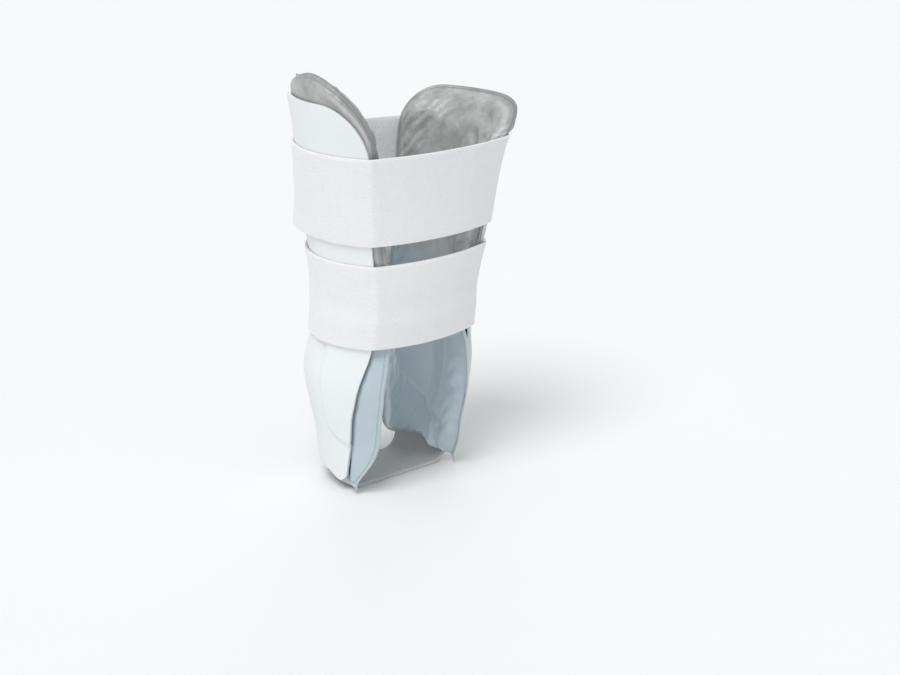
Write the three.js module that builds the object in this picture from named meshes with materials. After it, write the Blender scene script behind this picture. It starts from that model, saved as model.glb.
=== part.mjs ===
// An air-cushioned stirrup ankle brace, fastened as it is when worn: two moulded shells face each
// other, each lined with an inflated pad, a heel strap passes underneath from one shell to the
// other, and two wide straps go right round both shells.
//
// Lengths are millimetres. +Z is up, the brace's front faces -Y and the near shell stands at -X.
// The origin is the middle of the heel strap's underside, which the brace stands on.

import * as THREE from "three";

// Shells
const shellHeight = 230; // lower edge to crown
const shellLift = 7; // lower edge above the surface that the brace stands on
const shellWall = 2.2;
const shellHalfWidth = 44; // centre line to an edge, round the curve, below the crown
const shellTurn = THREE.MathUtils.degToRad(6); // the centre line lies this far towards the back
const calfRadius = 60; // outside of the shells at the upper strap
const crownFlatFront = 13; // straight length of the crown, before its front corner rounds off
const crownFlatBack = 30;
const crownDropFront = 34; // height of the crown's front corner
const crownDropBack = 22;
const footFlatFront = 8; // straight length of the lower edge, from the centre line
const footFlatBack = 28;
const footDrop = 6; // height of a corner at the lower edge
const footStep = 4.5; // the lower edge lies this much lower towards its front corner
const footStepStart = -12; // it climbs from here, measured from the centre line
const footStepWidth = 14;
const medialDrop = 20; // the medial shell and pad end this much lower

// Raised panel moulded into the lower part of each shell
const panelHeight = 1.2;
const panelBorder = 5; // width of its sloping border
const panelBack = 5; // the panel stops this far before the shell's centre line
const panelLow = 24; // its lower border above the shell's lower edge, at the front edge
const panelHigh = 100;
const panelCornerHeight = 17; // its lower corner is a quarter ellipse
const panelCornerWidth = 18;

// Air pads
const padThickness = 11;
const padRim = 3; // thickness of the sealed rim
const padRimInset = 1.2; // how far the rim's outside stands back from the pad's outside
const padCrown = 11; // rise above the shell's crown
const padLift = 7.5; // lower edge above the surface that the brace stands on
const padDip = 6.5; // the lower edge dips this much at its front corner, ahead of the heel strap
const padOverhang = 15; // widest stretch that shows ahead of the shell's front edge
const padBackOverhang = 3;
const padTuck = 14; // above the heel strap's end the pad closes on the shell over this height

// Straps round both shells
const strapWidth = 51;
const strapThickness = 2;
const crownShow = 28; // height of the lateral shell's crown above the upper strap
const strapGap = 12; // between the two straps
const strapBend = 2.5; // radius of the bend round a shell's edge
const shinBulge = 7; // how far a strap swells between the shells, in front
const calfBulge = 9; // and behind
const upperStrapSlack = 7; // the upper strap's lower edge stands off behind
const slackTurn = Math.PI / 3; // angle from the side to where it stands off in full
const strapPanelMargin = 6; // a strap rises this far before the raised panel

// Heel strap
const heelWidth = 42;
const heelSetback = 19; // its middle lies this far behind the form's centre line
const heelThickness = 2.4;
const heelRise = 60; // height that its ends reach between shell and pad
const heelBend = 12; // radius on the outside of its two bends

const clearance = 0.5; // between pieces that lie against each other

// Grids of the shells and pads
const endCrowding = 0.6; // 0 for even grid lines, 1 for lines as close at the ends as on a circle
const padSideFullness = 4; // a pad swells sooner from its edges the higher these are
const padEndFullness = 10;

const crownHeight = shellLift + shellHeight;
const upperStrapTop = crownHeight - crownShow;
const lowerStrapTop = upperStrapTop - strapWidth - strapGap;

// Sections of the form that the shells follow. up is a share of the shell's height, radius, shift
// and swell are shares of calfRadius: each section is a circle whose centre is moved from the
// form's centre line along Y by shift, and on the medial side it stands out further by swell.
const formSections = [
  { up: 0, radius: 0.7, shift: 0.12, swell: 0 },
  { up: 0.12, radius: 0.74, shift: 0.13, swell: 0.01 },
  { up: 0.2, radius: 0.79, shift: 0.15, swell: 0.03 },
  { up: 0.28, radius: 0.82, shift: 0.155, swell: 0.02 },
  { up: 0.38, radius: 0.78, shift: 0.085, swell: 0 },
  { up: 0.52, radius: 0.81, shift: -0.01, swell: -0.03 },
  { up: 0.66, radius: 0.885, shift: -0.035, swell: 0 },
  { up: 0.78, radius: 0.94, shift: -0.05, swell: 0.01 },
  { up: 0.88, radius: 0.995, shift: -0.085, swell: 0.03 },
  { up: 0.94, radius: 1.035, shift: -0.11, swell: 0.125 },
  { up: 1, radius: 1.08, shift: -0.13, swell: 0.22 },
];

// Edges of a shell. front and back are shares of shellHalfWidth, measured round the curve from the
// centre line, and pad is the share of padOverhang that shows ahead of the front edge there.
const shellEdges = [
  { up: 0, front: 0.32, back: 0.8, pad: 0.7 },
  { up: 0.08, front: 0.43, back: 0.82, pad: 1 },
  { up: 0.18, front: 0.58, back: 0.84, pad: 1 },
  { up: 0.24, front: 0.7, back: 0.85, pad: 0.95 },
  { up: 0.3, front: 0.79, back: 0.86, pad: 0.85 },
  { up: 0.38, front: 0.83, back: 0.87, pad: 0.65 },
  { up: 0.65, front: 0.88, back: 0.91, pad: 0.45 },
  { up: 0.85, front: 0.97, back: 1, pad: 0.3 },
  { up: 1, front: 1.01, back: 1.03, pad: 0.3 },
];

// Value of a table's column at a share of its height, on a smooth curve through the rows.
function readTable(rows, column, up) {
  let i = 0;
  while (i < rows.length - 2 && up > rows[i + 1].up) i += 1;
  const [a, b] = [rows[i], rows[i + 1]];
  const before = rows[i - 1] ?? a;
  const after = rows[i + 2] ?? b;
  const span = b.up - a.up;
  const t = (up - a.up) / span;
  const slopeA = ((b[column] - before[column]) / (b.up - before.up)) * span;
  const slopeB = ((after[column] - a[column]) / (after.up - a.up)) * span;
  if (t > 1) return b[column] + slopeB * (t - 1);
  const hermite = 2 * t ** 3 - 3 * t ** 2;
  return (
    (hermite + 1) * a[column] +
    (t ** 3 - 2 * t ** 2 + t) * slopeA -
    hermite * b[column] +
    (t ** 3 - t ** 2) * slopeB
  );
}

const upAt = (z) => Math.max((z - shellLift) / shellHeight, 0);
const formSwell = (z) => calfRadius * readTable(formSections, "swell", upAt(z));
const formBase = (z) => calfRadius * readTable(formSections, "radius", upAt(z));
const formRadius = (z, side) => formBase(z) + (side > 0 ? formSwell(z) : 0);
const formCentre = (z) => calfRadius * readTable(formSections, "shift", upAt(z)) - heelSetback;
const shellFront = (z) => shellHalfWidth * readTable(shellEdges, "front", upAt(z));
const shellBack = (z) => shellHalfWidth * readTable(shellEdges, "back", upAt(z));
const padAhead = (z) => padOverhang * readTable(shellEdges, "pad", upAt(z));

// 0 before start, 1 after start + width and smooth between.
const rise = (x, start, width) => THREE.MathUtils.smoothstep(x, start, start + width);

// Height that a corner has lost where it is a share of its width along, on a quarter ellipse.
const cornerLoss = (share) => 1 - Math.sqrt(Math.max(1 - Math.max(share, 0) ** 2, 0));

// Point of the form on the side that side names, -1 lateral and 1 medial, drawn at -X on both.
// turn is the angle from -X towards +Y.
function onForm(turn, z, offset, side) {
  const radius = formRadius(z, side) + offset;
  return new THREE.Vector3(
    -radius * Math.cos(turn),
    formCentre(z) + radius * Math.sin(turn),
    z,
  );
}

// Angle of a point that lies a length round the curve from the shell's centre line.
const turnAt = (along, z) => shellTurn + along / formBase(z);

// How far the raised panel stands out of the shell. It runs off the shell's front edge.
function panelStep(along, z, margin = 0) {
  const back = -panelBack + margin;
  const cornerShare = Math.min((panelBack + along) / panelCornerWidth + 1, 1);
  const low = shellLift + panelLow + panelCornerHeight * cornerLoss(cornerShare) - margin;
  const high = shellLift + panelHigh + margin;
  return (
    panelHeight *
    (1 - rise(along, back - panelBorder, panelBorder)) *
    rise(z, low, panelBorder) *
    (1 - rise(z, high - panelBorder, panelBorder))
  );
}

// Closed body between two grids of points: outer(i, j) and inner(i, j) for i up to columns and
// j up to rows, with the rim that joins them.
function wallBetween(columns, rows, outer, inner) {
  const positions = [];
  const indices = [];
  for (const face of [outer, inner])
    for (let j = 0; j <= rows; j += 1)
      for (let i = 0; i <= columns; i += 1) positions.push(...face(i, j).toArray());
  const outside = (i, j) => j * (columns + 1) + i;
  const inside = (i, j) => outside(i, j) + (columns + 1) * (rows + 1);
  const quad = (a, b, c, d) => indices.push(a, b, c, a, c, d);
  for (let j = 0; j < rows; j += 1)
    for (let i = 0; i < columns; i += 1) {
      quad(outside(i, j), outside(i, j + 1), outside(i + 1, j + 1), outside(i + 1, j));
      quad(inside(i, j), inside(i + 1, j), inside(i + 1, j + 1), inside(i, j + 1));
    }
  for (let i = 0; i < columns; i += 1) {
    quad(outside(i, 0), outside(i + 1, 0), inside(i + 1, 0), inside(i, 0));
    quad(outside(i + 1, rows), outside(i, rows), inside(i, rows), inside(i + 1, rows));
  }
  for (let j = 0; j < rows; j += 1) {
    quad(outside(0, j + 1), outside(0, j), inside(0, j), inside(0, j + 1));
    quad(outside(columns, j), outside(columns, j + 1), inside(columns, j + 1), inside(columns, j));
  }
  const geometry = new THREE.BufferGeometry();
  geometry.setAttribute("position", new THREE.Float32BufferAttribute(positions, 3));
  geometry.setIndex(indices);
  geometry.computeVertexNormals();
  return geometry;
}

// Grid lines from -1 to 1 that lie closer together towards both ends.
const closerAtEnds = (i, count) => {
  const even = (2 * i) / count - 1;
  return THREE.MathUtils.lerp(even, Math.sin((Math.PI / 2) * even), endCrowding);
};

// Lower and upper edge of a shell or pad at a length along from its centre line.
function edgeHeights(along, outline) {
  const back = along > 0;
  const flat = back ? crownFlatBack : crownFlatFront;
  const drop = back ? crownDropBack : crownDropFront;
  const edge = back ? outline.back : outline.front;
  const footFlat = back ? footFlatBack : footFlatFront;
  const far = Math.abs(along);
  const crownWidth = edge(outline.top - drop) - flat;
  const footWidth = edge(outline.bottom) - footFlat;
  const bottom = outline.bottom + footStep * rise(along, footStepStart, footStepWidth);
  return {
    low: bottom + outline.foot(along) * cornerLoss((far - footFlat) / footWidth),
    high: outline.top - drop * cornerLoss((far - flat) / crownWidth),
  };
}

// Patch that follows the form inside an outline: across from -1 at the front edge to 1 at the back
// edge, up from 0 at the lower edge to 1 at the upper edge.
function onPatch(outline, across, up) {
  const edge = across < 0 ? outline.front : outline.back;
  const topCorner = outline.top - (across < 0 ? crownDropFront : crownDropBack);
  const { high } = edgeHeights(across * edge(topCorner), outline);
  const { low } = edgeHeights(across * edge(outline.bottom), outline);
  const z = low + (high - low) * up;
  return { along: across * edge(z), z };
}

const crownOf = (side) => crownHeight - (side > 0 ? medialDrop : 0);

const shellOutline = (side) => ({
  front: shellFront,
  back: shellBack,
  bottom: shellLift,
  top: crownOf(side),
  foot: () => footDrop,
});

const padOutline = (side) => ({
  front: (z) => shellFront(z) + padAhead(z),
  back: (z) => shellBack(z) + padBackOverhang,
  bottom: padLift,
  top: crownOf(side) + padCrown,
  foot: (along) => (along < 0 ? -padDip : footDrop),
});

function shellGeometry(side, columns = 20, rows = 26) {
  const outline = shellOutline(side);
  const face = (offset) => (i, j) => {
    const { along, z } = onPatch(outline, closerAtEnds(i, columns), j / rows);
    return onForm(turnAt(along, z), z, offset + panelStep(along, z), side);
  };
  return wallBetween(columns, rows, face(0), face(-shellWall));
}

// The pad lies against the shell, and against the heel strap's end lower down.
function padGeometry(side, columns = 15, rows = 24) {
  const outline = padOutline(side);
  const face = (inner) => (i, j) => {
    const across = closerAtEnds(i, columns);
    const up = (closerAtEnds(j, rows) + 1) / 2;
    const { along, z } = onPatch(outline, across, up);
    const sideFill = 1 - across ** padSideFullness;
    const fill = Math.sqrt(sideFill * (1 - (2 * up - 1) ** padEndFullness));
    const behindStrap = 1 - rise(z, heelRise + padTuck, padTuck);
    const seat = shellWall + clearance + (clearance + heelThickness) * behindStrap;
    const outside = seat + padRimInset * (1 - fill);
    const depth = inner ? seat + padRim + (padThickness - padRim) * fill : outside;
    return onForm(turnAt(along, z), z, -depth, side);
  };
  return wallBetween(columns, rows, face(false), face(true));
}

// Arcs of a strap's path on one side at one height, from the middle of the front to the middle of
// the back. Each arc has a centre, a radius and the angles at which it starts and ends.
function strapArcs(z, side) {
  const radius = formRadius(z, side);
  const centre = formCentre(z);
  const frontTurn = turnAt(-shellFront(z), z);
  const backTurn = turnAt(shellBack(z), z);
  const bend = (turn) => ({
    x: -(radius - strapBend) * Math.cos(turn),
    y: centre + (radius - strapBend) * Math.sin(turn),
    radius: strapBend,
  });
  const span = (corner, bulge, towards) => {
    const deep = strapBend + bulge;
    const spanRadius = (corner.x ** 2 + deep ** 2 - strapBend ** 2) / (2 * bulge);
    const y = corner.y + towards * (deep - spanRadius);
    const turn = Math.atan2(corner.y - y, -corner.x);
    return { x: 0, y, radius: spanRadius, turn };
  };
  const frontBend = bend(frontTurn);
  const backBend = bend(backTurn);
  const shin = span(frontBend, shinBulge, -1);
  const calf = span(backBend, calfBulge, 1);
  return {
    shin: { ...shin, start: -Math.PI / 2, end: shin.turn },
    frontBend: { ...frontBend, start: shin.turn, end: frontTurn },
    side: { x: 0, y: centre, radius, start: frontTurn, end: backTurn },
    backBend: { ...backBend, start: backTurn, end: calf.turn },
    calf: { ...calf, start: calf.turn, end: Math.PI / 2 },
  };
}

// Point of a strap's path. A station names an arc, the share of it and the side, -1 at -X.
function onStrap(station, z, offset) {
  const arc = strapArcs(z, station.side)[station.arc];
  const turn = THREE.MathUtils.lerp(arc.start, arc.end, station.share);
  const reach = arc.radius + offset;
  const x = arc.x - reach * Math.cos(turn);
  return new THREE.Vector3(-station.side * x, arc.y + reach * Math.sin(turn), z);
}

const arcSteps = { shin: 6, frontBend: 3, side: 12, backBend: 3, calf: 6 };
const outerEndStep = 3; // step of the far side's arc where the strap's outer end lies
const innerEndStep = 10; // and where its inner end lies, beneath
const climbSteps = 3; // steps in which the outer end climbs on to the inner one

// Stations of one side, from the front to the back.
function sideStations(side) {
  const stations = [];
  for (const [arc, steps] of Object.entries(arcSteps))
    for (let i = 0; i < steps; i += 1) stations.push({ arc, share: i / steps, side });
  return stations;
}

// The whole path of a strap: from its inner end on the far side, round the front, the near side
// and the back, and over its own start to its outer end.
function strapStations() {
  const far = sideStations(1);
  const near = sideStations(-1);
  const sideStart = arcSteps.shin + arcSteps.frontBend;
  const calfMiddle = { arc: "calf", share: 1, side: 1 };
  return [
    ...far.slice(1, sideStart + innerEndStep + 1).reverse(),
    ...near,
    calfMiddle,
    ...far.slice(sideStart + outerEndStep).reverse(),
  ];
}

// slack is how far the strap's lower edge stands off behind.
function strapGeometry(top, slack, rows = 5) {
  const stations = strapStations();
  const last = stations.length - 1;
  const overlapSteps = innerEndStep - outerEndStep;
  const climbStart = last - overlapSteps - climbSteps - 1;
  const face = (outer) => (i, j) => {
    const station = stations[i];
    const up = j / rows;
    const z = top - strapWidth * (1 - up);
    const arc = strapArcs(z, station.side)[station.arc];
    const turn = THREE.MathUtils.lerp(arc.start, arc.end, station.share);
    const along = (turn - shellTurn) * formBase(z);
    const overPanel = panelStep(along, z, strapPanelMargin);
    const behind = rise(turn, 0, slackTurn) * slack * (1 - up) ** 2;
    const over = rise(i, climbStart, climbSteps) * (strapThickness + clearance);
    const offset = clearance + overPanel + behind + over + (outer ? strapThickness : 0);
    return onStrap(station, z, offset);
  };
  return wallBetween(last, rows, face(true), face(false));
}

// Point of the heel strap beside the shell, drawn at +X. share runs across its width from the front.
function onHeelStrap(share, z, inset, side) {
  const radius = formRadius(z, side);
  const middleTurn = Math.asin(-formCentre(z) / radius);
  const turn = middleTurn + (heelWidth * (share - 0.5)) / radius;
  const reach = radius - inset;
  return { x: reach * Math.cos(turn), y: formCentre(z) + reach * Math.sin(turn) };
}

function heelStrapGeometry(rows = 6) {
  const sideSteps = 8;
  const bendSteps = 4;
  const half = sideSteps + bendSteps;
  const columns = 2 * half + 1;
  const face = (inner) => (i, j) => {
    const side = i <= half ? -1 : 1;
    const k = i <= half ? i : columns - i;
    const inset = shellWall + clearance + (inner ? heelThickness : 0);
    if (k <= sideSteps) {
      const z = THREE.MathUtils.lerp(heelRise, heelBend, k / sideSteps);
      const { x, y } = onHeelStrap(j / rows, z, inset, side);
      return new THREE.Vector3(side * x, y, z);
    }
    const bend = heelBend - (inner ? heelThickness : 0);
    const turn = ((k - sideSteps) / bendSteps) * (Math.PI / 2);
    const { x, y } = onHeelStrap(j / rows, heelBend, inset, side);
    const reach = x - bend * (1 - Math.cos(turn));
    return new THREE.Vector3(side * reach, y, heelBend - bend * Math.sin(turn));
  };
  return wallBetween(columns, rows, face(false), face(true));
}

const shellPlastic = new THREE.MeshStandardMaterial({ color: 0xeef2f2, roughness: 0.4 });
const padVinyl = new THREE.MeshStandardMaterial({ color: 0xaab2b6, roughness: 0.5 });
const strapPile = new THREE.MeshStandardMaterial({ color: 0xe6e7ea, roughness: 0.95 });
const heelWebbing = new THREE.MeshStandardMaterial({ color: 0xdfe2e4, roughness: 0.9 });

function piece(name, geometry, material, farSide = false) {
  const mesh = new THREE.Mesh(geometry, material);
  mesh.name = name;
  if (farSide) mesh.scale.x = -1;
  return mesh;
}

const brace = new THREE.Group();
brace.add(
  piece("lateral_shell", shellGeometry(-1), shellPlastic),
  piece("medial_shell", shellGeometry(1), shellPlastic, true),
  piece("lateral_air_pad", padGeometry(-1), padVinyl),
  piece("medial_air_pad", padGeometry(1), padVinyl, true),
  piece("upper_strap", strapGeometry(upperStrapTop, upperStrapSlack), strapPile),
  piece("lower_strap", strapGeometry(lowerStrapTop, 0), strapPile),
  piece("heel_strap", heelStrapGeometry(), heelWebbing),
);

export default brace;
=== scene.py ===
# Air-cushioned stirrup ankle brace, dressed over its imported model
import math

import bmesh
import bpy
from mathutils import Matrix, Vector, noise


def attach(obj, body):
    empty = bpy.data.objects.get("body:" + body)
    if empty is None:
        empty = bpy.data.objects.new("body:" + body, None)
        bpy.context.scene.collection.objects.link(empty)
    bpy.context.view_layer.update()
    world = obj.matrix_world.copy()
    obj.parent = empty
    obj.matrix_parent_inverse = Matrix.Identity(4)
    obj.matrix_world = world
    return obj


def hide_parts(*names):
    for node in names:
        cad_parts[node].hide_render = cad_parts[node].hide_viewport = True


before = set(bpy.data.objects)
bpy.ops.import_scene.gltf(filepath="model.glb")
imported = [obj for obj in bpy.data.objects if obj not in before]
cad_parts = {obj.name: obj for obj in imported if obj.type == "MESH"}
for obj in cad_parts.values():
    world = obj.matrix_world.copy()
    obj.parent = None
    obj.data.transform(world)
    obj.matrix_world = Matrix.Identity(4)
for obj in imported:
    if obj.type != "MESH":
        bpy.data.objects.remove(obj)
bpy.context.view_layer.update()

mm = 0.001

# The curved form that every piece follows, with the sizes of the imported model
form = {
    "lift": 7 * mm,  # lower edge of the shells above the floor
    "height": 230 * mm,
    "calfRadius": 60 * mm,
    "setback": 19 * mm,  # the form lies this far ahead of the heel strap's middle
    "clearance": 0.5 * mm,
    "sections": [  # share of height, then radius, shift and medial swell as shares of calfRadius
        (0, 0.7, 0.12, 0),
        (0.12, 0.74, 0.13, 0.01),
        (0.2, 0.79, 0.15, 0.03),
        (0.28, 0.82, 0.155, 0.02),
        (0.38, 0.78, 0.085, 0),
        (0.52, 0.81, -0.01, -0.03),
        (0.66, 0.885, -0.035, 0),
        (0.78, 0.94, -0.05, 0.01),
        (0.88, 0.995, -0.085, 0.03),
        (0.94, 1.035, -0.11, 0.125),
        (1, 1.08, -0.13, 0.22),
    ],
}


def tableValue(rows, column, up):
    i = 0
    while i < len(rows) - 2 and up > rows[i + 1][0]:
        i += 1
    a, b = rows[i], rows[i + 1]
    before = rows[i - 1] if i else a
    after = rows[i + 2] if i + 2 < len(rows) else b
    span = b[0] - a[0]
    t = (up - a[0]) / span
    slopeA = (b[column] - before[column]) / (b[0] - before[0]) * span
    slopeB = (after[column] - a[column]) / (after[0] - a[0]) * span
    if t > 1:
        return b[column] + slopeB * (t - 1)
    bend = 2 * t**3 - 3 * t**2
    start = (bend + 1) * a[column] + (t**3 - 2 * t**2 + t) * slopeA
    return start - bend * b[column] + (t**3 - t**2) * slopeB


def upAt(z):
    return max((z - form["lift"]) / form["height"], 0)


def formBase(z):
    return form["calfRadius"] * tableValue(form["sections"], 1, upAt(z))


def formCentre(z):
    return form["calfRadius"] * tableValue(form["sections"], 2, upAt(z)) - form["setback"]


def formRadius(z, side):
    swell = form["calfRadius"] * tableValue(form["sections"], 3, upAt(z)) if side > 0 else 0
    return formBase(z) + swell


def onForm(turn, z, offset, side):  # side is -1 lateral, 1 medial
    radius = formRadius(z, side) + offset
    return Vector((side * radius * math.cos(turn), formCentre(z) + radius * math.sin(turn), z))


def rise(x, start, width):  # 0 before start, 1 after start + width
    t = min(max((x - start) / width, 0), 1)
    return t * t * (3 - 2 * t)


def blendTo(a, b, t):
    return a + (b - a) * t


# Materials

class Wire:  # a socket of a finish, on which expressions add Math nodes
    def __init__(self, finish, socket):
        self.finish = finish
        self.socket = socket

    def calc(self, operation, first, second=0.0):
        return self.finish.node("Math", {"operation": operation}, {0: first, 1: second})

    def __add__(self, other):
        return self.calc("ADD", self, other)

    def __radd__(self, other):
        return self.calc("ADD", other, self)

    def __sub__(self, other):
        return self.calc("SUBTRACT", self, other)

    def __rsub__(self, other):
        return self.calc("SUBTRACT", other, self)

    def __mul__(self, other):
        return self.calc("MULTIPLY", self, other)

    def __rmul__(self, other):
        return self.calc("MULTIPLY", other, self)

    def __abs__(self):
        return self.calc("ABSOLUTE", self)

    def smaller(self, other):
        return self.calc("MINIMUM", self, other)

    def larger(self, other):
        return self.calc("MAXIMUM", self, other)

    def wave(self):
        return self.calc("SINE", self)


class Finish:  # a material and its node tree
    def __init__(self, name, slot):
        self.slot = slot
        self.material = bpy.data.materials.new(name)
        self.material.use_nodes = True
        self.tree = self.material.node_tree
        self.shader = self.tree.nodes["Principled BSDF"]

    def node(self, kind, settings=None, inputs=None, output=0):
        made = self.tree.nodes.new("ShaderNode" + kind)
        for name, value in (settings or {}).items():
            setattr(made, name, value)
        for key, value in (inputs or {}).items():
            self.feed(made.inputs[key], value)
        return Wire(self, made.outputs[output])

    def feed(self, socket, value):
        if isinstance(value, Wire):
            self.tree.links.new(value.socket, socket)
        elif socket.type == "RGBA":
            socket.default_value = (*value, 1)
        else:
            socket.default_value = value

    def mix(self, factor, first, second):
        return self.node("Mix", {"data_type": "RGBA"}, {0: factor, 6: first, 7: second}, 2)

    def noise(self, place, scale, detail=3, roughness=0.5):
        sockets = {"Vector": place, "Scale": scale, "Detail": detail, "Roughness": roughness}
        return self.node("TexNoise", {}, sockets)

    def stretched(self, place, scale):
        return self.node("VectorMath", {"operation": "MULTIPLY"}, {0: place, 1: scale})

    def band(self, value, low, high):  # 0 at low, 1 at high
        sockets = {"Value": value, "From Min": low, "From Max": high}
        return self.node("MapRange", {"interpolation_type": "SMOOTHSTEP"}, sockets)

    def part(self, place, axis):  # one number of a place
        return self.node("SeparateXYZ", {}, {0: place}, axis)

    def line(self, distance, at, core, edge):  # 1 on a line at a distance, 0 beside it
        return self.band(abs(distance - at), edge, core)

    def bump(self, height, distance):
        made = self.node("Bump", {}, {"Height": height, "Distance": distance})
        self.tree.links.new(made.socket, self.shader.inputs["Normal"])

    def set(self, **sockets):
        for name, value in sockets.items():
            self.feed(self.shader.inputs[name.replace("_", " ")], value)


def objectPlace(finish):
    return finish.node("TexCoord", output=3)


def surfacePlace(finish):  # the piece's own map, in metres along and across
    return finish.node("UVMap", {"uv_map": "surface"})


plasticLook = {
    "deep": (0.80, 0.84, 0.845),
    "pale": (0.83, 0.862, 0.866),
    "cloud": 18,  # scales of the noises
    "peel": 1100,
    "flow": (60, 60, 9),
    "scuff": (240, 240, 900),
    "roughness": 0.3,
    "relief": 0.12 * mm,
}


def shellPlastic():
    finish = Finish("shellPlastic", "shell_plastic")
    look = plasticLook
    place = objectPlace(finish)
    cloud = finish.noise(place, look["cloud"], 2)
    peel = finish.noise(place, look["peel"], 2)
    flow = finish.noise(finish.stretched(place, look["flow"]), 1, 3)
    scuff = finish.noise(finish.stretched(place, look["scuff"]), 1, 4, 0.7)
    finish.set(Base_Color=finish.mix(finish.band(cloud, 0.35, 0.65), look["deep"], look["pale"]))
    finish.set(Roughness=look["roughness"] + flow * 0.12 + finish.band(scuff, 0.6, 0.75) * 0.1)
    finish.set(Subsurface_Weight=0.12, Subsurface_Scale=0.003, IOR=1.49)
    finish.bump(peel * 0.6 + flow * 2.0, look["relief"])
    return finish


pileLook = {
    "dark": (0.825, 0.833, 0.84),
    "light": (0.885, 0.89, 0.895),
    "worn": (0.855, 0.86, 0.87),
    "selvedge": (0.86, 0.865, 0.87),
    "selvedgeFrom": 0.9 * mm,
    "selvedgeTo": 1.8 * mm,
    "seamStart": 4 * mm,  # seams across the hook end, from the strap's end
    "seamEnd": 36 * mm,
    "seamInset": 4 * mm,  # seams along its edges
    "seamCore": 0.3 * mm,
    "seamEdge": 0.7 * mm,
    "dashes": 2100,
    "ribs": 9000,
    "loops": 1250,
    "fuzz": 2300,
    "patch": 90,
    "streak": (420, 16, 1),
    "relief": 0.22 * mm,
}


def strapPile():
    finish = Finish("strapPile", "strap_pile")
    look = pileLook
    place = surfacePlace(finish)
    toEnd, across = finish.part(place, 0), finish.part(place, 1)
    inward = across.smaller(strap["width"] - across)
    squashed = finish.stretched(place, (1, 0.7, 1))
    loops = finish.node("TexVoronoi", {"feature": "F1"}, {"Vector": squashed, "Scale": look["loops"]})
    fuzz = finish.noise(place, look["fuzz"], 3, 0.65)
    patch = finish.noise(place, look["patch"], 3)
    streak = finish.noise(finish.stretched(place, look["streak"]), 1, 3, 0.6)
    edge = finish.band(inward, look["selvedgeFrom"], look["selvedgeTo"])
    # two seams across the hook end and one along each of its edges, in dashes
    core, rim = look["seamCore"], look["seamEdge"]
    seam = finish.line(toEnd, look["seamStart"], core, rim)
    seam = seam.larger(finish.line(toEnd, look["seamEnd"], core, rim))
    middle = (look["seamStart"] + look["seamEnd"]) / 2
    half = (look["seamEnd"] - look["seamStart"]) / 2
    side = finish.line(inward, look["seamInset"], core, rim)
    side = side * finish.line(toEnd, middle, half, half + 1 * mm)
    dash = finish.band((toEnd * look["dashes"]).wave(), -0.6, -0.2)
    dashUp = finish.band((across * look["dashes"]).wave(), -0.6, -0.2)
    stitch = (seam * dashUp).larger(side * dash)
    shade = finish.band(loops * 0.7 + fuzz * 0.5, 0.25, 0.75)
    pile = finish.mix(shade, look["light"], look["dark"])
    pile = finish.mix(finish.band(patch * 0.6 + streak * 0.4, 0.35, 0.65), pile, look["worn"])
    finish.set(Base_Color=finish.mix(edge, look["selvedge"], pile))
    finish.set(Roughness=0.86 + fuzz * 0.12)
    finish.set(Sheen_Weight=0.35, Sheen_Roughness=0.5)
    rib = (across * look["ribs"]).wave() * 0.12
    pulled = seam.larger(side) * 1.6
    surface = edge * (fuzz * 0.8 - loops * 0.9 + streak * 0.5) * (1 - stitch) + (1 - edge) * rib
    finish.bump(surface - pulled + stitch * 1.3, look["relief"])
    return finish


filmLook = {
    "coolDark": (0.42, 0.51, 0.555),  # blue-grey below
    "coolLight": (0.52, 0.61, 0.655),
    "warmDark": (0.31, 0.315, 0.305),  # and grey above
    "warmLight": (0.43, 0.445, 0.435),
    "warmFrom": 100 * mm,
    "warmTo": 160 * mm,
    "wander": 60 * mm,
    # painted highlight on the crest where the film turns inward
    "ridgeHighlight": (0.6, 0.61, 0.6),
    # painted shade for the weld band, where the film has turned inward
    "weld": (0.27, 0.275, 0.27),
    "seam": (0.2, 0.21, 0.22),
    "cloud": 35,
    "grain": 1700,
    "crinkle": (130, 130, 60),
    "wrinkle": (110, 110, 80),
    "relief": 0.2 * mm,
}


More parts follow.
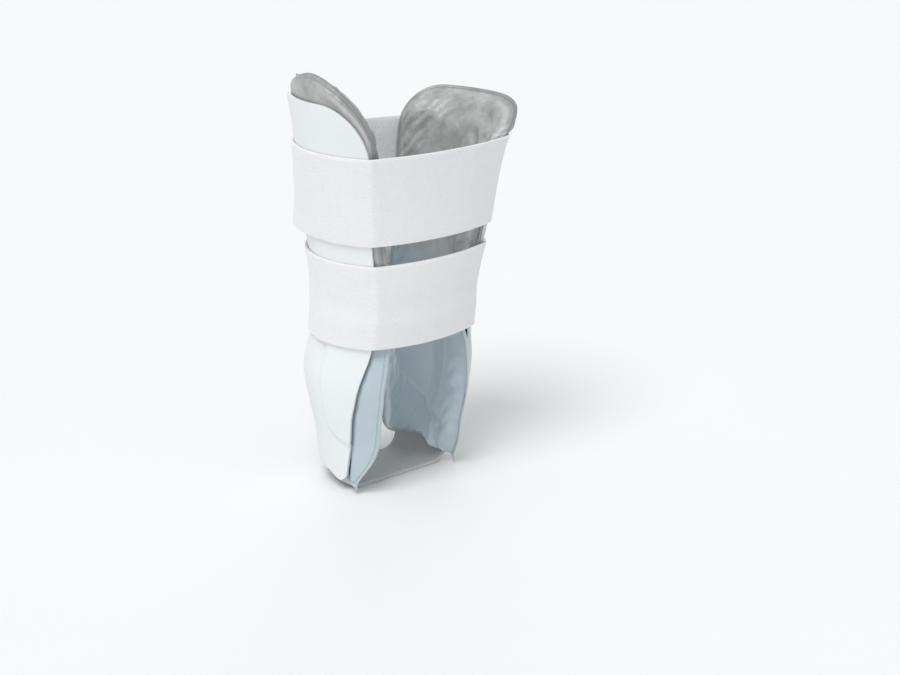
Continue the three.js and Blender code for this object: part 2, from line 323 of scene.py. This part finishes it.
def padVinyl():
    finish = Finish("padVinyl", "pad_vinyl")
    look = filmLook
    place = objectPlace(finish)
    rim = finish.node("Attribute", {"attribute_name": "rim"}, output=2)
    front = finish.node("Attribute", {"attribute_name": "front"}, output=2)
    cloud = finish.noise(place, look["cloud"], 3)
    grain = finish.noise(place, look["grain"], 2)
    crinkle = finish.noise(finish.stretched(place, look["crinkle"]), 1, 4, 0.6)
    wrinkle = finish.noise(finish.stretched(place, look["wrinkle"]), 1, 4, 0.6)
    cool = finish.mix(cloud, look["coolDark"], look["coolLight"])
    warm = finish.mix(finish.band(wrinkle, 0.3, 0.7), look["warmDark"], look["warmLight"])
    height = finish.part(place, 2) + (cloud - 0.5) * look["wander"]
    crown = finish.band(height, look["warmFrom"], look["warmTo"])
    film = finish.mix(crown, cool, warm)
    # from the edge inward: a dark line, the weld with its seam, given painted shade where the film has
    # turned inward, then a painted highlight on the crest where it starts to turn
    weld = finish.band(rim, 0.48, 0.62)
    # a painted highlight on the crest where the film turns inward, towards the front
    ridgeHighlight = finish.band(rim, 0.2, 0.4) * (1 - weld) * front
    seam = finish.line(rim, 0.76, 0.02, 0.05)
    dark = finish.band(rim, 0.88, 0.96).larger(seam * 0.6)
    film = finish.mix(ridgeHighlight * crown * 0.5, film, look["ridgeHighlight"])
    # the weld band darkened as painted shade where the film has turned inward, most at the crown's
    # front
    film = finish.mix(weld * crown * front * 0.5, film, look["weld"])
    finish.set(Base_Color=finish.mix(dark * (0.15 + crown * 0.35), film, look["seam"]))
    finish.set(Roughness=0.38 + cloud * 0.15 - weld * 0.06, Coat_Weight=0.35, Coat_Roughness=0.22)
    finish.set(Subsurface_Weight=0.08, Subsurface_Scale=0.004, IOR=1.5)
    finish.bump(crinkle * 3.0 + grain * 0.5 + crown * wrinkle * 6 - seam * 1.5, look["relief"])
    return finish


webbingLook = {
    "shade": (0.58, 0.59, 0.6),
    "yarn": (0.76, 0.77, 0.78),
    "worn": (0.68, 0.68, 0.67),
    "warp": 3600,
    "weft": 5200,
    "wear": 120,
    "relief": 0.3 * mm,
}


def heelWebbing():
    finish = Finish("heelWebbing", "heel_webbing")
    look = webbingLook
    place = surfacePlace(finish)
    along, across = finish.part(place, 0), finish.part(place, 1)
    rows = (across * look["warp"]).wave()
    warp = abs(rows)
    weft = (along * look["weft"] + rows * 1.2).wave()
    wear = finish.noise(place, look["wear"], 4)
    weave = finish.band(warp * 0.6 + weft * 0.3, 0, 0.9)
    cloth = finish.mix(weave, look["shade"], look["yarn"])
    finish.set(Base_Color=finish.mix(finish.band(wear, 0.4, 0.7) * 0.3, cloth, look["worn"]))
    finish.set(Roughness=0.8 + wear * 0.15, Sheen_Weight=0.15)
    finish.bump(warp + weft * 0.4, look["relief"])
    return finish


# Making pieces

def bentWall(columns, rows, outer, inner, surface=None):
    # Two flat grids are bent into place point by point and bridged into a closed wall.
    # outer and inner take across -1..1 and up 0..1, surface gives metres along and across
    bm = bmesh.new()
    layer = bm.loops.layers.uv.new("surface")
    flat = {}
    for place in (outer, inner):
        made = bmesh.ops.create_grid(bm, x_segments=columns, y_segments=rows, size=1)["verts"]
        for v in made:
            flat[v] = (v.co.x, (v.co.y + 1) / 2)
            v.co = place(*flat[v])
    bmesh.ops.bridge_loops(bm, edges=[e for e in bm.edges if e.is_boundary])
    bmesh.ops.recalc_face_normals(bm, faces=bm.faces)
    if surface:
        for face in bm.faces:
            for loop in face.loops:
                loop[layer].uv = surface(*flat[loop.vert])
    return bm


def finishPiece(name, bm, finish, replaced):
    for face in bm.faces:
        face.smooth = True
    mesh = bpy.data.meshes.new(name)
    bm.to_mesh(mesh)
    bm.free()
    piece = bpy.data.objects.new(name, mesh)
    bpy.context.collection.objects.link(piece)
    piece.data.materials.append(finish.material)
    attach(piece, "root")
    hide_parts(replaced)
    return piece


def roundEdges(piece, width):
    rounding = piece.modifiers.new("rounding", "BEVEL")
    rounding.width = width
    rounding.segments = 3
    rounding.limit_method = "ANGLE"
    rounding.angle_limit = math.radians(50)


# Outline of shells and pads

outline = {
    "halfWidth": 44 * mm,
    "turn": math.radians(6),  # the centre line of a shell lies this far back
    "footFlat": {-1: 8 * mm, 1: 28 * mm},  # ahead of the centre line and behind it
    "footDrop": 6 * mm,
    "footStep": 4.5 * mm,  # the lower edge lies this much lower towards its front corner
    "footStepStart": -12 * mm,
    "footStepWidth": 14 * mm,
    "medialDrop": 20 * mm,  # the medial side ends lower
    "crownFlat": {-1: 13 * mm, 1: 30 * mm},  # ahead of the centre line and behind it
    "crownDrop": {-1: 34 * mm, 1: 22 * mm},
    "edges": [  # share of height, front and back as shares of halfWidth, pad as a share of its overhang
        (0, 0.32, 0.8, 0.65),
        (0.08, 0.43, 0.82, 1.4),
        (0.18, 0.58, 0.84, 1.5),
        (0.24, 0.7, 0.85, 1.4),
        (0.3, 0.79, 0.86, 1.2),
        (0.38, 0.83, 0.87, 0.85),
        (0.65, 0.88, 0.91, 0.6),
        (0.85, 0.97, 1, 0.4),
        (1, 1.01, 1.03, 0.4),
    ],
}


def shellReach(back, z):  # from the centre line to the edge, round the curve
    column = 2 if back > 0 else 1
    return outline["halfWidth"] * tableValue(outline["edges"], column, upAt(z))


def crownOf(side):
    return form["lift"] + form["height"] - (outline["medialDrop"] if side > 0 else 0)


def cornerLoss(share):
    return 1 - math.sqrt(max(1 - max(share, 0) ** 2, 0))


def edgeHeights(along, patch):
    # Lower and upper edge of a patch at a distance from its centre line
    back = 1 if along > 0 else -1
    top, bottom, reach = patch["top"], patch["bottom"], patch["reach"]
    drop, crownFlat = patch["crownDrop"][back], patch["crownFlat"][back]
    footFlat = outline["footFlat"][back]
    crownShare = (abs(along) - crownFlat) / (reach(back, top - drop) - crownFlat)
    footShare = (abs(along) - footFlat) / (reach(back, bottom) - footFlat)
    bottom += outline["footStep"] * rise(along, outline["footStepStart"], outline["footStepWidth"])
    return bottom + patch["foot"][back] * cornerLoss(footShare), top - drop * cornerLoss(crownShare)


def onPatch(across, up, patch):
    # Distance along the curve and height of a place inside a patch
    back = 1 if across > 0 else -1
    reach = patch["reach"]
    low = edgeHeights(across * reach(back, patch["bottom"]), patch)[0]
    high = edgeHeights(across * reach(back, patch["top"] - patch["crownDrop"][back]), patch)[1]
    z = blendTo(low, high, up)
    return across * reach(back, z), z


def turnAt(along, z):
    return outline["turn"] + along / formBase(z)


def strapTop():
    return form["lift"] + form["height"] - strap["crownShow"]


flare = {  # the medial crown leans out above the upper strap
    "reach": 6 * mm,
    "rise": 10 * mm,
    "easeShare": 0.4,  # and less so near its top
    "easeStart": 9 * mm,
    "easeRise": 11 * mm,
    "ahead": 10 * mm,
    "width": 22 * mm,
    "early": 8 * mm,  # the pad starts lower where it is free
}


def crownFlare(along, z, side, early=0):
    if side < 0:
        return 0
    eased = 1 - flare["easeShare"] * rise(z, strapTop() + flare["easeStart"], flare["easeRise"])
    upward = rise(z, strapTop() - early, flare["rise"]) * eased
    return flare["reach"] * upward * rise(-along, flare["ahead"], flare["width"])


shell = {
    "columns": 90,
    "rows": 150,
    "wall": 2.2 * mm,
    "edge": 0.7 * mm,
    "panelHeight": 1.2 * mm,
    "panelBorder": 2.2 * mm,
    "panelBack": 5 * mm,
    "panelLow": 24 * mm,
    "panelRound": 17 * mm,  # its lower corner is round
    "panelCorner": 18 * mm,
    "panelHigh": 100 * mm,
}


def panelStep(along, z, border, margin=0):
    back = -shell["panelBack"] + margin
    ahead = min(max((-along - shell["panelBack"]) / shell["panelCorner"], 0), 1)
    low = form["lift"] + shell["panelLow"] + shell["panelRound"] * cornerLoss(1 - ahead) - margin
    high = form["lift"] + shell["panelHigh"] + margin
    across = 1 - rise(along, back - border, border)
    upward = rise(z, low, border) * (1 - rise(z, high - border, border))
    return shell["panelHeight"] * across * upward


def closerAtEnds(x):  # grid lines lie closer together near the edges
    even = 0.4
    return even * x + (1 - even) * math.sin(math.pi / 2 * x)


def shellPatch(side):
    return {
        "reach": shellReach,
        "bottom": form["lift"],
        "top": crownOf(side),
        "foot": {-1: outline["footDrop"], 1: outline["footDrop"]},
        "crownFlat": outline["crownFlat"],
        "crownDrop": outline["crownDrop"],
    }


def buildShell(name, side, finish, replaced):
    patch = shellPatch(side)

    def face(depth):
        def place(across, up):
            along, z = onPatch(closerAtEnds(across), up, patch)
            offset = panelStep(along, z, shell["panelBorder"]) + crownFlare(along, z, side) - depth
            return onForm(turnAt(along, z), z, offset, side)

        return place

    bm = bentWall(shell["columns"], shell["rows"], face(0), face(shell["wall"]))
    roundEdges(finishPiece(name, bm, finish, replaced), shell["edge"])


# Straps round both shells

strap = {
    "width": 51 * mm,
    "thickness": 1.5 * mm,
    "rest": 0.25 * mm,  # gap over what it lies on
    "edge": 0.5 * mm,
    "bend": 2.2 * mm,
    "shinBulge": 7 * mm,
    "calfBulge": 9 * mm,
    "crownShow": 28 * mm,
    "gap": 12 * mm,
    "panelBorder": 14 * mm,
    "ripple": 0.35 * mm,
    "rippleScale": Vector((30, 30, 22)),
    "rippleHeld": 0.4,  # share of it that is left against the shells
    "slack": {"upper": 7 * mm, "lower": 0},  # its lower edge stands out by this much behind
    "slackTurn": math.pi / 3,
    "seed": {"upper": 3, "lower": 8},
    "merge": 0.9,  # share of the front and the back arc in which both sides blend
    "rows": 26,
    "steps": {"shin": 40, "frontBend": 9, "side": 60, "backBend": 9, "calf": 40},
    "outerEnd": 15,  # steps of the far side's arc, where the strap's ends lie
    "innerEnd": 50,
    "climb": 15,  # steps in which the outer end climbs on to the inner one
    "climbLead": 20,  # and how many steps before the overlap it starts
}


def strapArcs(z, side):
    # Centre x and y, radius, start and end of each arc, from the front to the back
    radius, centre = formRadius(z, side), formCentre(z)
    frontTurn = turnAt(-shellReach(-1, z), z)
    backTurn = turnAt(shellReach(1, z), z)
    deep = radius - strap["bend"]

    def span(turn, bulge, towards):
        x, y = deep * math.cos(turn), centre + deep * math.sin(turn)
        reach = strap["bend"] + bulge
        spanRadius = (x**2 + reach**2 - strap["bend"] ** 2) / (2 * bulge)
        spanY = y + towards * (reach - spanRadius)
        return x, y, spanY, spanRadius, math.atan2(y - spanY, x)

    frontX, frontY, shinY, shinRadius, shinTurn = span(frontTurn, strap["shinBulge"], -1)
    backX, backY, calfY, calfRadius, calfTurn = span(backTurn, strap["calfBulge"], 1)
    return {
        "shin": (0, shinY, shinRadius, -math.pi / 2, shinTurn),
        "frontBend": (frontX, frontY, strap["bend"], shinTurn, frontTurn),
        "side": (0, centre, radius, frontTurn, backTurn),
        "backBend": (backX, backY, strap["bend"], backTurn, calfTurn),
        "calf": (0, calfY, calfRadius, calfTurn, math.pi / 2),
    }


def strapStations():
    def sideStations(side):
        return [(arc, i / n, side) for arc, n in strap["steps"].items() for i in range(n)]

    far, near = sideStations(1), sideStations(-1)
    sideStart = strap["steps"]["shin"] + strap["steps"]["frontBend"]
    beneath = far[1 : sideStart + strap["innerEnd"] + 1][::-1]
    over = far[sideStart + strap["outerEnd"] :][::-1]
    return beneath + near + [("calf", 1, 1)] + over


def buildStrap(name, which, top, finish, replaced):
    stations = strapStations()
    last = len(stations) - 1
    overlap = strap["innerEnd"] - strap["outerEnd"]
    climbStart = last - overlap - strap["climbLead"]
    slack, seed = strap["slack"][which], Vector((0, 0, strap["seed"][which]))
    arcsAt = {}

    def onLoop(arcName, share, side, z, offset):
        key = (round(z / mm, 3), side)
        if key not in arcsAt:
            arcsAt[key] = strapArcs(z, side)
        x, y, radius, start, end = arcsAt[key][arcName]
        turn = blendTo(start, end, share)
        outward = Vector((math.cos(turn), math.sin(turn), 0))
        along = (turn - outline["turn"]) * formBase(z)
        lift = panelStep(along, z, strap["panelBorder"], strap["panelBorder"])
        lift += rise(turn, 0, strap["slackTurn"]) * slack * ((top - z) / strap["width"]) ** 2
        spot = Vector((x, y, z)) + outward * (radius + offset + lift)
        return Vector((side * spot.x, spot.y, z)), Vector((side * outward.x, outward.y, 0))

    def point(i, up, lift=0):
        arcName, share, side = stations[i]
        z = top - strap["width"] * (1 - up)
        offset = strap["rest"] + lift
        offset += rise(i, climbStart, strap["climb"]) * (strap["thickness"] + strap["rest"])
        spot, outward = onLoop(arcName, share, side, z, offset)
        if arcName in ("shin", "calf"):  # both sides blend into each other in the middle
            other = onLoop(arcName, share, -side, z, offset)[0]
            other.x = -other.x
            away = share if arcName == "shin" else 1 - share
            spot = spot.lerp(other, 0.5 * (1 - rise(away, 0, strap["merge"])))
        ripple = noise.noise(spot * strap["rippleScale"] + seed)
        free = 1 - abs(outward.x)
        return spot + outward * strap["ripple"] * (0.5 + ripple) * (strap["rippleHeld"] + free)

    lengths = [0.0]
    for i in range(1, last + 1):
        lengths.append(lengths[-1] + (point(i, 0.5) - point(i - 1, 0.5)).length)

    def column(across):
        return round((across + 1) / 2 * last)

    def face(lift):
        def place(across, up):
            return point(column(across), up, lift)

        return place

    def surface(across, up):  # metres from the outer end, and up the strap
        return lengths[last] - lengths[column(across)], up * strap["width"]

    bm = bentWall(last, strap["rows"], face(strap["thickness"]), face(0), surface)
    roundEdges(finishPiece(name, bm, finish, replaced), strap["edge"])


# Air pads

pad = {
    "columns": 50,
    "rows": 120,
    "crown": 11 * mm,  # it stands out above the shell
    "lift": 7.5 * mm,
    "dip": 6.5 * mm,
    "ahead": 12 * mm,
    "behind": 3 * mm,
    # by side, then in front and behind
    "crownFlat": {-1: {-1: 10 * mm, 1: 24 * mm}, 1: {-1: 13 * mm, 1: 24 * mm}},
    "crownDrop": {-1: {-1: 50 * mm, 1: 24 * mm}, 1: {-1: 34 * mm, 1: 24 * mm}},
    "crest": 4.5 * mm,  # the near pad's crown rises ahead of its middle
    "crestAt": 3 * mm,
    "crestWidth": 17 * mm,
    "crestFrom": 0.88,  # share of the pad's height
    "thickness": 11 * mm,
    "shoulder": 6.5 * mm,  # distance over which it swells to full thickness
    "cornerEase": 6,  # a smaller one rounds its corners more
    "tuck": 14 * mm,  # it gives way to the heel strap over this height
    "tuckGap": 0.7 * mm,
    "tuckFade": 3 * mm,
    # the welded rim
    "weld": 2.2 * mm,
    "film": 0.8 * mm,  # from film to film in the weld
    "rimReach": {-1: 10 * mm, 1: 6 * mm},  # the attribute for the rim falls from 1 to 0 over it
    "rimLow": 0.7 * mm,  # depth of the rim low down
    "rimHigh": {-1: 4.6 * mm, 1: 2.6 * mm},  # and at the crown
    "rimFrom": 140 * mm,
    "rimRise": 50 * mm,
    # folds along the weld
    "pucker": 0.7 * mm,
    "puckerPitch": 9 * mm,
    "puckerFade": 8 * mm,
    "puckerFrom": 2 * mm,
    "wander": 3,  # how far the folds stray
    "wanderScale": 60,
    # small folds of the crown, where it is free of the shell
    "crinkle": 1.3 * mm,
    "crinkleScale": 110,
    "crinkleFine": 230,
    "crinkleRise": 4 * mm,
    "freeFrom": 1 * mm,
    "freeRise": 5 * mm,
    # room under the upper strap, and more above it
    "underStrap": 0.3 * mm,
    "roomAbove": 20 * mm,
    "roomFrom": 0.5 * mm,
    "roomRise": 4 * mm,
    "wrap": 2.1 * mm,  # ahead of the shell's edge it stands out a little, below the lower strap
    "wrapFrom": 0.5 * mm,
    "wrapWidth": 2 * mm,
    "wrapDrop": 10 * mm,
    "wrapFade": 8 * mm,
    "frontFrom": 8 * mm,  # the attribute for the front rises from 0 to 1
    "frontWidth": 20 * mm,
    # air
    "heldFade": 3 * mm,  # past the weld the film is free
    "frames": 20,
    "cap": 3.5 * mm,  # no point moves further
    "cloth": {
        "quality": 6,
        "mass": 0.2,
        "tension_stiffness": 15,
        "compression_stiffness": 15,
        "shear_stiffness": 5,
        "bending_stiffness": 0.2,
        "use_pressure": True,
        "uniform_pressure_force": 4,
        "vertex_group_mass": "held",
        "shrink_min": -0.05,
    },
}


def padReach(back, z):
    if back > 0:
        return shellReach(back, z) + pad["behind"]
    return shellReach(back, z) + pad["ahead"] * tableValue(outline["edges"], 3, upAt(z))


def padPlace(side, across, up):
    patch = {
        "reach": padReach,
        "bottom": pad["lift"],
        "top": crownOf(side) + pad["crown"],
        "foot": {-1: -pad["dip"], 1: outline["footDrop"]},
        "crownFlat": pad["crownFlat"][side],
        "crownDrop": pad["crownDrop"][side],
    }
    along, z = onPatch(across, up, patch)
    if side < 0:
        away = (along + pad["crestAt"]) / pad["crestWidth"]
        z += pad["crest"] * math.exp(-(away**2)) * rise(up, pad["crestFrom"], 1 - pad["crestFrom"])
    return along, z


def rimDistance(side, across, up, along, z):
    # Distance to the pad's edge, less in its corners
    back = 1 if across > 0 else -1
    sideways = padReach(back, z) - abs(along)
    tall = crownOf(side) + pad["crown"] - pad["lift"]
    upward = min(up, 1 - up) * tall
    near, far = min(sideways, upward), max(sideways, upward)
    corner = max(pad["shoulder"] - far, 0)
    return max(near - corner**2 / (pad["cornerEase"] * pad["shoulder"]), 0)


def padDepths(side, across, up):
    # Depth of the outer and the inner film under the form
    along, z = padPlace(side, across, up)
    distance = rimDistance(side, across, up, along, z)
    y = onForm(turnAt(along, z), z, 0, side).y
    behindStrap = 1 - rise(z, heel["rise"] + pad["tuck"], pad["tuck"])
    behindStrap *= 1 - rise(abs(y), heel["width"] / 2 + pad["tuckGap"], pad["tuckFade"])
    seat = shell["wall"] + form["clearance"]
    seat += (form["clearance"] + heel["thickness"]) * behindStrap
    inside = max(distance - pad["weld"], 0)
    swell = math.sqrt(max(1 - (1 - min(inside / pad["shoulder"], 1)) ** 2, 0))
    wander = pad["wander"] * noise.noise(Vector((along, z, side)) * pad["wanderScale"])
    fold = math.sin((along + z) / pad["puckerPitch"] * 2 * math.pi + wander)
    fold *= pad["pucker"] * math.exp(-inside / pad["puckerFade"]) * min(inside / pad["puckerFrom"], 1)
    high = rise(z, pad["rimFrom"], pad["rimRise"])
    rimDepth = blendTo(pad["rimLow"], pad["rimHigh"][side], high)
    outer = seat + blendTo(rimDepth - pad["film"] / 2, 0, swell) + fold * (1 - swell)
    inner = seat + blendTo(rimDepth + pad["film"] / 2, pad["thickness"], swell) + fold
    return (outer, inner), distance, along, z


def pastShell(side, along, z):  # 1 where the pad stands out past the shell's crown
    shellTop = edgeHeights(along, shellPatch(side))[1]
    return rise(z - shellTop, pad["freeFrom"], pad["freeRise"])


def padCrinkle(side, along, z):
    free = pastShell(side, along, z) * rise(z, strapTop(), pad["crinkleRise"])
    spot = Vector((along, z, side))
    coarse = noise.noise(spot * pad["crinkleScale"])
    return pad["crinkle"] * free * (coarse + 0.5 * noise.noise(spot * pad["crinkleFine"]))


def padLean(side, along, z, outerDepth):
    # Past the shell's crown it leans out sooner, as far as the strap lets it
    lean = crownFlare(along, z, side, flare["early"] * pastShell(side, along, z))
    room = outerDepth - pad["underStrap"]
    room += pad["roomAbove"] * rise(z, strapTop() + pad["roomFrom"], pad["roomRise"])
    lowerStrapEnd = strapTop() - 2 * strap["width"] - strap["gap"]
    wrap = pad["wrap"] * rise(-along - shellReach(-1, z), pad["wrapFrom"], pad["wrapWidth"])
    wrap *= 1 - rise(z, lowerStrapEnd - pad["wrapDrop"], pad["wrapFade"])
    return min(lean, room) + wrap


def buildPad(name, side, finish, replaced):
    reaches = []  # distance of each point to the pad's edge, in the order in which they are made
    fronts = []  # 1 towards the front edge

    def film(inner):
        def place(across, up):
            a, u = closerAtEnds(across), (closerAtEnds(2 * up - 1) + 1) / 2
            depths, distance, along, z = padDepths(side, a, u)
            reaches.append(distance)
            fronts.append(rise(-along, pad["frontFrom"], pad["frontWidth"]))
            offset = padLean(side, along, z, depths[0]) - depths[inner]
            if not inner:
                offset += padCrinkle(side, along, z)
            return onForm(turnAt(along, z), z, offset, side)

        return place

    bm = bentWall(pad["columns"], pad["rows"], film(False), film(True))
    piece = finishPiece(name, bm, finish, replaced)
    group = piece.vertex_groups.new(name="held")
    for i, reach in enumerate(reaches):
        outer = i < len(reaches) / 2
        group.add([i], 1 if outer else 1 - rise(reach, pad["weld"], pad["heldFade"]), "REPLACE")
    rims = [max(1 - reach / pad["rimReach"][side], 0) for reach in reaches]
    for attribute, values in (("rim", rims), ("front", fronts)):
        piece.data.attributes.new(attribute, "FLOAT", "POINT").data.foreach_set("value", values)
    return piece


# Heel strap

heel = {
    "width": 42 * mm,
    "thickness": 2.4 * mm,
    "rise": 60 * mm,
    "bend": 12 * mm,
    "underfoot": 70 * mm,
    "edge": 0.7 * mm,
    "sideSteps": 44,
    "bendSteps": 12,
    "bottomSteps": 30,
    "rows": 30,
}


def buildHeelStrap(name, finish, replaced):
    sideSteps, bendSteps, bottomSteps = heel["sideSteps"], heel["bendSteps"], heel["bottomSteps"]
    columns = 2 * (sideSteps + bendSteps) + bottomSteps
    inset = shell["wall"] + form["clearance"]

    def beside(share, z, side, depth):
        radius = formRadius(z, side)
        turn = math.asin(-formCentre(z) / radius) + heel["width"] * (share - 0.5) / radius
        reach = radius - inset - depth
        return reach * math.cos(turn), formCentre(z) + reach * math.sin(turn)

    def halfWay(k, share, side, depth):
        if k <= sideSteps:
            z = blendTo(heel["rise"], heel["bend"], k / sideSteps)
            x, y = beside(share, z, side, depth)
            return Vector((side * x, y, z))
        turn = min((k - sideSteps) / bendSteps, 1) * math.pi / 2
        x, y = beside(share, heel["bend"], side, 0)
        bend = heel["bend"] - depth
        x += bend * math.cos(turn) - heel["bend"]
        return Vector((side * x, y, heel["bend"] - bend * math.sin(turn)))

    def face(depth):
        def place(across, share):
            i = round((across + 1) / 2 * columns)
            half = sideSteps + bendSteps
            if i <= half:
                return halfWay(i, share, -1, depth)
            if i >= half + bottomSteps:
                return halfWay(columns - i, share, 1, depth)
            near, far = halfWay(half, share, -1, depth), halfWay(half, share, 1, depth)
            return near.lerp(far, (i - half) / bottomSteps)

        return place

    def surface(across, share):
        length = 2 * heel["rise"] + heel["underfoot"]
        return (across + 1) / 2 * length, share * heel["width"]

    bm = bentWall(columns, heel["rows"], face(0), face(heel["thickness"]), surface)
    roundEdges(finishPiece(name, bm, finish, replaced), heel["edge"])


def inflate(piece):
    # Air pressure swells the inner film; the welded rim and the film against the shell are held
    scene = bpy.context.scene
    start = [v.co.copy() for v in piece.data.vertices]
    cloth = piece.modifiers.new("air", "CLOTH")
    for name, value in pad["cloth"].items():
        setattr(cloth.settings, name, value)
    cloth.settings.effector_weights.gravity = 0
    cloth.collision_settings.use_collision = False
    cloth.point_cache.frame_start = 1
    cloth.point_cache.frame_end = pad["frames"]
    for step in range(1, pad["frames"] + 1):
        scene.frame_set(step)
    swollen = piece.evaluated_get(bpy.context.evaluated_depsgraph_get()).data
    places = [v.co.copy() for v in swollen.vertices]
    piece.modifiers.remove(cloth)
    for v, before, after in zip(piece.data.vertices, start, places):
        move = after - before
        if move.length > pad["cap"]:
            move *= pad["cap"] / move.length
        v.co = before + move
    scene.frame_set(1)


# Camera, floor and light

view = {
    "azimuth": math.radians(-40.3),
    "elevation": math.radians(18.4),
    "distance": 1.098,
    "target": Vector((0.0421, -0.019, 0.0787)),
    "lens": 72.36,
    "sensor": 36,
}


def buildCamera():
    az, el = view["azimuth"], view["elevation"]
    back = Vector((math.sin(az) * math.cos(el), -math.cos(az) * math.cos(el), math.sin(el)))
    data = bpy.data.cameras.new("camera")
    data.lens = view["lens"]
    data.sensor_width = view["sensor"]
    data.clip_start = 0.01
    camera = bpy.data.objects.new("camera", data)
    camera.location = view["target"] + back * view["distance"]
    camera.rotation_euler = back.to_track_quat("Z", "Y").to_euler()
    bpy.context.collection.objects.link(camera)
    bpy.context.scene.camera = camera


studio = {
    "floorSize": 60,
    "paperDark": (0.86, 0.865, 0.87),
    "paperLight": (0.88, 0.885, 0.89),
    "sky": (0.96, 0.98, 1.0),
    "skyStrength": 0.58,
    "suns": [  # name, direction towards the light, strength, spread
        ("keyLight", (-0.75, -0.38, 1.3), 1.75, 30),
        ("rimLight", (0.8, 0.9, 0.7), 0.3, 40),
    ],
}


def buildStudio():
    bm = bmesh.new()
    bmesh.ops.create_grid(bm, x_segments=2, y_segments=2, size=studio["floorSize"] / 2)
    mesh = bpy.data.meshes.new("floor")
    bm.to_mesh(mesh)
    bm.free()
    floor = bpy.data.objects.new("floor", mesh)
    bpy.context.collection.objects.link(floor)
    finish = Finish("floorPaper", None)
    grain = finish.noise(objectPlace(finish), 6, 2)
    finish.set(Base_Color=finish.mix(grain, studio["paperDark"], studio["paperLight"]), Roughness=0.9)
    mesh.materials.append(finish.material)
    world = bpy.data.worlds.new("studioSky")
    world.use_nodes = True
    sky = world.node_tree.nodes["Background"]
    sky.inputs["Color"].default_value = (*studio["sky"], 1)
    sky.inputs["Strength"].default_value = studio["skyStrength"]
    bpy.context.scene.world = world
    for name, towards, strength, spread in studio["suns"]:
        data = bpy.data.lights.new(name, "SUN")
        data.energy = strength
        data.angle = math.radians(spread)
        light = bpy.data.objects.new(name, data)
        light.rotation_euler = Vector(towards).to_track_quat("Z", "Y").to_euler()
        bpy.context.collection.objects.link(light)
    bpy.context.scene.view_settings.view_transform = "Standard"


buildCamera()
buildStudio()
print("camera and studio made")

plastic, pile, vinyl, webbing = shellPlastic(), strapPile(), padVinyl(), heelWebbing()
print("finishes made")

buildShell("lateralShell", -1, plastic, "lateral_shell")
buildShell("medialShell", 1, plastic, "medial_shell")
print("shells made")

lowerTop = strapTop() - strap["width"] - strap["gap"]
buildStrap("upperStrap", "upper", strapTop(), pile, "upper_strap")
buildStrap("lowerStrap", "lower", lowerTop, pile, "lower_strap")
buildHeelStrap("heelStrap", webbing, "heel_strap")
print("straps made")

airPads = (("lateralAirPad", -1, "lateral_air_pad"), ("medialAirPad", 1, "medial_air_pad"))
for name, side, replaced in airPads:
    airPad = buildPad(name, side, vinyl, replaced)
    inflate(airPad)
    smoothing = airPad.modifiers.new("smoothing", "SUBSURF")
    smoothing.levels = smoothing.render_levels = 1
    print(name, "made")
